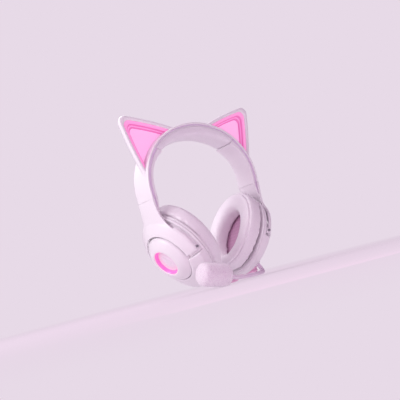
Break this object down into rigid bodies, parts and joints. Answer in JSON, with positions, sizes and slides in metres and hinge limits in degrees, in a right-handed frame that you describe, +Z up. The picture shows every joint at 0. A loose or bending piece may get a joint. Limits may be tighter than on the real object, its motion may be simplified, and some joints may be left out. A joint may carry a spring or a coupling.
{
  "type": "gaming headset",
  "caption": "Over-ear wired headset with lit cat ears, padded arch headband, sliding yokes, tilting oval ear cups and a flexible boom microphone.",
  "frame": {"origin": "on the table midway between the two ear cups, under the middle of the headband", "axes": "+Z up toward the top of the headband, -Y toward the front where the microphone points, +X toward the wearer left"},
  "size_m": [0.22, 0.1804, 0.204],
  "materials": {
    "shell_white": "satin moulded shell",
    "liner_white": "fine matte",
    "trim_lavender": "matte",
    "spring_steel": "brushed",
    "screw_steel": "dark zinc",
    "leatherette": "soft protein leatherette",
    "pad_cover": "smooth knit over foam",
    "pink_glow": "translucent, lit from behind",
    "circuit": "solder mask",
    "disc_white": "gloss",
    "driver_grey": "matte",
    "magnet_metal": "plated",
    "diaphragm_film": "thin film",
    "speaker_cloth": "open mesh",
    "foam": "open-cell foam",
    "boom_rubber": "satin sleeve",
    "pink_rubber": "soft strain relief",
    "cable_pink": "satin jacket",
    "tie_fabric": "hook and loop",
    "contact_metal": "nickel plated"
  },
  "bodies": {
    "headband": {"headband_shell": "shell_white", "headband_frame": "trim_lavender", "headband_liner": "liner_white", "band_spring": "spring_steel", "liner_screws": "screw_steel", "top_cushion": "pad_cover", "left_ear_shell": "shell_white", "left_ear_glow_panel": "pink_glow", "left_ear_light_board": "circuit", "right_ear_shell": "shell_white", "right_ear_glow_panel": "pink_glow", "right_ear_light_board": "circuit"},
    "left_yoke": {"left_yoke_shell": "shell_white", "left_yoke_trim": "trim_lavender", "left_slider_strip": "spring_steel", "left_pivot_pins": "screw_steel"},
    "right_yoke": {"right_yoke_shell": "shell_white", "right_yoke_trim": "trim_lavender", "right_slider_strip": "spring_steel", "right_pivot_pins": "screw_steel"},
    "left_cup": {"left_cup_housing": "shell_white", "left_cup_cap": "shell_white", "left_light_ring": "pink_glow", "left_center_disc": "disc_white", "left_control_board": "circuit", "left_speaker_plate": "liner_white", "left_cup_screws": "screw_steel", "left_driver_frame": "driver_grey", "left_driver_magnet": "magnet_metal", "left_driver_diaphragm": "diaphragm_film", "left_speaker_cloth": "speaker_cloth", "left_ear_cushion": "leatherette", "volume_encoder": "driver_grey", "boom_socket": "liner_white", "strain_relief": "pink_rubber", "cable": "cable_pink", "cable_tie": "tie_fabric", "usb_plug_grip": "cable_pink", "usb_plug_contact": "contact_metal"},
    "right_cup": {"right_cup_housing": "shell_white", "right_cup_cap": "shell_white", "right_light_ring": "pink_glow", "right_center_disc": "disc_white", "right_control_board": "circuit", "right_speaker_plate": "liner_white", "right_cup_screws": "screw_steel", "right_driver_frame": "driver_grey", "right_driver_magnet": "magnet_metal", "right_driver_diaphragm": "diaphragm_film", "right_speaker_cloth": "speaker_cloth", "right_ear_cushion": "leatherette"},
    "volume_dial": {"volume_wheel": "liner_white"},
    "mute_key": {"mute_button": "liner_white"},
    "mic_boom": {"boom_stem": "boom_rubber", "lower_gooseneck": "boom_rubber"},
    "mic_head": {"upper_gooseneck": "boom_rubber", "mic_body": "boom_rubber", "mic_element": "driver_grey", "windscreen": "foam"}
  },
  "joints": [
    {"name": "left_extend", "type": "slide", "parent": "headband", "child": "left_yoke", "axis": [0.061, 0, -0.9981], "range_m": [0, 0.014]},
    {"name": "right_extend", "type": "slide", "parent": "headband", "child": "right_yoke", "axis": [-0.061, 0, -0.9981], "range_m": [0, 0.014]},
    {"name": "left_cup_tilt", "type": "hinge", "parent": "left_yoke", "child": "left_cup", "pos_m": [0.0524, 0.004, 0.04782], "axis": [0, -1, 0], "range_deg": [-1.5, 12]},
    {"name": "right_cup_tilt", "type": "hinge", "parent": "right_yoke", "child": "right_cup", "pos_m": [-0.0524, 0.004, 0.04782], "axis": [0, 1, 0], "range_deg": [-1.5, 12]},
    {"name": "volume_turn", "type": "hinge", "parent": "left_cup", "child": "volume_dial", "pos_m": [0.04562, 0.0376, 0.03557], "axis": [0.8678, 0, -0.497], "range_deg": [-140, 140]},
    {"name": "mute_press", "type": "slide", "parent": "left_cup", "child": "mute_key", "axis": [0.3916, -0.6157, 0.6838], "range_m": [0, 0.0008]},
    {"name": "boom_swing", "type": "hinge", "parent": "left_cup", "child": "mic_boom", "pos_m": [0.04181, -0.013, 0.01586], "axis": [-0.4693, 0.2576, 0.8447], "range_deg": [-3, 100]},
    {"name": "mic_bend", "type": "hinge", "parent": "mic_boom", "child": "mic_head", "pos_m": [0.002, -0.041, 0.0044], "axis": [-0.2307, 0.973, 0], "range_deg": [-30, 8]}
  ]
}
